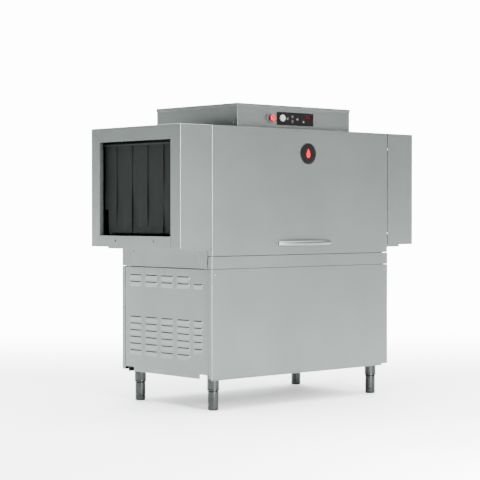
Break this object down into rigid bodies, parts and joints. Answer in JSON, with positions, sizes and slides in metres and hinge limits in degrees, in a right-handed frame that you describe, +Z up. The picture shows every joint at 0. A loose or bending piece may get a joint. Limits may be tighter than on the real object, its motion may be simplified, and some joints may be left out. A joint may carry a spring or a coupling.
{
  "type": "rack conveyor dishwasher",
  "caption": "Commercial rack-conveyor dishwasher with a lifting front door, end hoods with strip curtains, a roof control box and louvred side panels on adjustable legs.",
  "frame": {"origin": "on the floor, under the middle of the machine", "axes": "+X along the racks' travel to the right, -Y towards the front, +Z up"},
  "size_m": [1.7, 0.82, 1.565],
  "materials": {
    "panel_steel": "satin",
    "inner_steel": "satin",
    "leg_chrome": "gloss",
    "cast_iron": "rough",
    "pump_cast": "cast",
    "motor_paint": "painted",
    "brass": "satin",
    "slider_nylon": "matt",
    "seal_rubber": "matt",
    "curtain_rubber": "satin",
    "overlay_black": "gloss",
    "badge_black": "gloss",
    "button_grey": "gloss",
    "stop_red": "gloss",
    "stop_yellow": "gloss",
    "stem_black": "matt",
    "cable_steel": "stranded"
  },
  "bodies": {
    "machine": {"base_frame": "inner_steel", "leg_sleeves": "leg_chrome", "service_panel": "panel_steel", "front_fascia": "panel_steel", "left_side_panel": "panel_steel", "right_side_panel": "panel_steel", "rear_panel": "panel_steel", "tunnel_casing": "panel_steel", "left_hood": "panel_steel", "right_hood": "panel_steel", "chamber_shell": "inner_steel", "door_surround": "inner_steel", "wash_tank": "inner_steel", "strainer_trays": "inner_steel", "drain_pipe": "inner_steel", "tank_heater": "inner_steel", "pump_casing": "pump_cast", "pump_motor": "motor_paint", "wash_riser": "inner_steel", "upper_wash_arms": "inner_steel", "lower_wash_arms": "inner_steel", "rinse_arms": "inner_steel", "booster_tank": "inner_steel", "rinse_valve": "brass", "rack_rails": "inner_steel", "drive_gearmotor": "motor_paint", "control_box": "panel_steel", "control_box_lid": "panel_steel", "control_overlay": "overlay_black", "estop_collar": "stop_yellow", "shaft_bearings": "slider_nylon", "front_cables": "cable_steel", "rear_cables": "cable_steel", "electrics": "stem_black", "panel_screws": "inner_steel"},
    "door": {"door_skin": "panel_steel", "door_liner": "inner_steel", "door_handle": "panel_steel", "door_seal": "seal_rubber", "door_sliders": "slider_nylon", "door_badge": "badge_black"},
    "counterweight": {"counterweight": "cast_iron"},
    "front_pulleys": {"front_pulley_shaft": "inner_steel"},
    "rear_pulleys": {"rear_pulley_shaft": "inner_steel"},
    "conveyor": {"drag_bar": "inner_steel"},
    "pawl_1": {"pawl_1": "inner_steel"},
    "pawl_2": {"pawl_2": "inner_steel"},
    "pawl_3": {"pawl_3": "inner_steel"},
    "crank": {"drive_crank": "inner_steel"},
    "rotor": {"pump_rotor": "pump_cast"},
    "standpipe": {"overflow_standpipe": "inner_steel"},
    "entry_curtain": {"entry_curtain": "curtain_rubber"},
    "exit_curtain": {"exit_curtain": "curtain_rubber"},
    "start_button": {"start_button": "button_grey"},
    "estop_stem": {"estop_stem": "stem_black"},
    "estop_head": {"estop_head": "stop_red"},
    "foot_front_left": {"foot_front_left": "leg_chrome"},
    "foot_front_right": {"foot_front_right": "leg_chrome"},
    "foot_rear_left": {"foot_rear_left": "leg_chrome"},
    "foot_rear_right": {"foot_rear_right": "leg_chrome"}
  },
  "joints": [
    {"name": "door_lift", "type": "slide", "parent": "machine", "child": "door", "axis": [0, 0, 1], "range_m": [0, 0.45], "deforming": ["front_cables"]},
    {"name": "counterweight_slide", "type": "slide", "parent": "machine", "child": "counterweight", "axis": [0, 0, 1], "range_m": [-0.45, 0], "deforming": ["rear_cables"]},
    {"name": "front_pulley_spin", "type": "hinge", "parent": "machine", "child": "front_pulleys", "pos_m": [0, -0.2862, 1.408], "axis": [1, 0, 0], "range_deg": [-1135, 0]},
    {"name": "rear_pulley_spin", "type": "hinge", "parent": "machine", "child": "rear_pulleys", "pos_m": [0, 0.3082, 1.408], "axis": [1, 0, 0], "range_deg": [-1135, 0]},
    {"name": "conveyor_slide", "type": "slide", "parent": "machine", "child": "conveyor", "axis": [1, 0, 0], "range_m": [-0.065, 0.065]},
    {"name": "pawl_1_hinge", "type": "hinge", "parent": "conveyor", "child": "pawl_1", "pos_m": [-0.45, 0, 0.878], "axis": [0, 1, 0], "range_deg": [0, 35]},
    {"name": "pawl_2_hinge", "type": "hinge", "parent": "conveyor", "child": "pawl_2", "pos_m": [-0.1, 0, 0.878], "axis": [0, 1, 0], "range_deg": [0, 35]},
    {"name": "pawl_3_hinge", "type": "hinge", "parent": "conveyor", "child": "pawl_3", "pos_m": [0.25, 0, 0.878], "axis": [0, 1, 0], "range_deg": [0, 35]},
    {"name": "crank_turn", "type": "hinge", "parent": "machine", "child": "crank", "pos_m": [0.47, 0, 0.857], "axis": [0, 0, 1], "continuous": true},
    {"name": "rotor_spin", "type": "hinge", "parent": "machine", "child": "rotor", "pos_m": [0.03, 0.2, 0.33], "axis": [1, 0, 0], "continuous": true},
    {"name": "standpipe_lift", "type": "slide", "parent": "machine", "child": "standpipe", "axis": [0, 0, 1], "range_m": [0, 0.08]},
    {"name": "entry_curtain_swing", "type": "hinge", "parent": "machine", "child": "entry_curtain", "pos_m": [-0.815, 0, 1.352], "axis": [0, 1, 0], "range_deg": [-60, 60]},
    {"name": "exit_curtain_swing", "type": "hinge", "parent": "machine", "child": "exit_curtain", "pos_m": [0.815, 0, 1.352], "axis": [0, 1, 0], "range_deg": [-60, 60]},
    {"name": "start_button_press", "type": "slide", "parent": "machine", "child": "start_button", "axis": [0, 1, 0], "range_m": [0, 0.003], "stiffness_N_per_m": 600},
    {"name": "estop_press", "type": "slide", "parent": "machine", "child": "estop_stem", "axis": [0, 1, 0], "range_m": [0, 0.005], "stiffness_N_per_m": 800},
    {"name": "estop_twist", "type": "hinge", "parent": "estop_stem", "child": "estop_head", "pos_m": [-0.18, -0.31, 1.495], "axis": [0, 1, 0], "range_deg": [0, 30], "stiffness_Nm_per_rad": 0.2},
    {"name": "foot_front_left_screw", "type": "slide", "parent": "machine", "child": "foot_front_left", "axis": [0, 0, -1], "range_m": [0, 0.04]},
    {"name": "foot_front_right_screw", "type": "slide", "parent": "machine", "child": "foot_front_right", "axis": [0, 0, -1], "range_m": [0, 0.04]},
    {"name": "foot_rear_left_screw", "type": "slide", "parent": "machine", "child": "foot_rear_left", "axis": [0, 0, -1], "range_m": [0, 0.04]},
    {"name": "foot_rear_right_screw", "type": "slide", "parent": "machine", "child": "foot_rear_right", "axis": [0, 0, -1], "range_m": [0, 0.04]}
  ],
  "couplings": [
    {"joint": "counterweight_slide", "follows": "door_lift", "ratio": -1},
    {"joint": "front_pulley_spin", "follows": "door_lift", "rad_per_m": -43.86},
    {"joint": "rear_pulley_spin", "follows": "door_lift", "rad_per_m": -43.86}
  ]
}
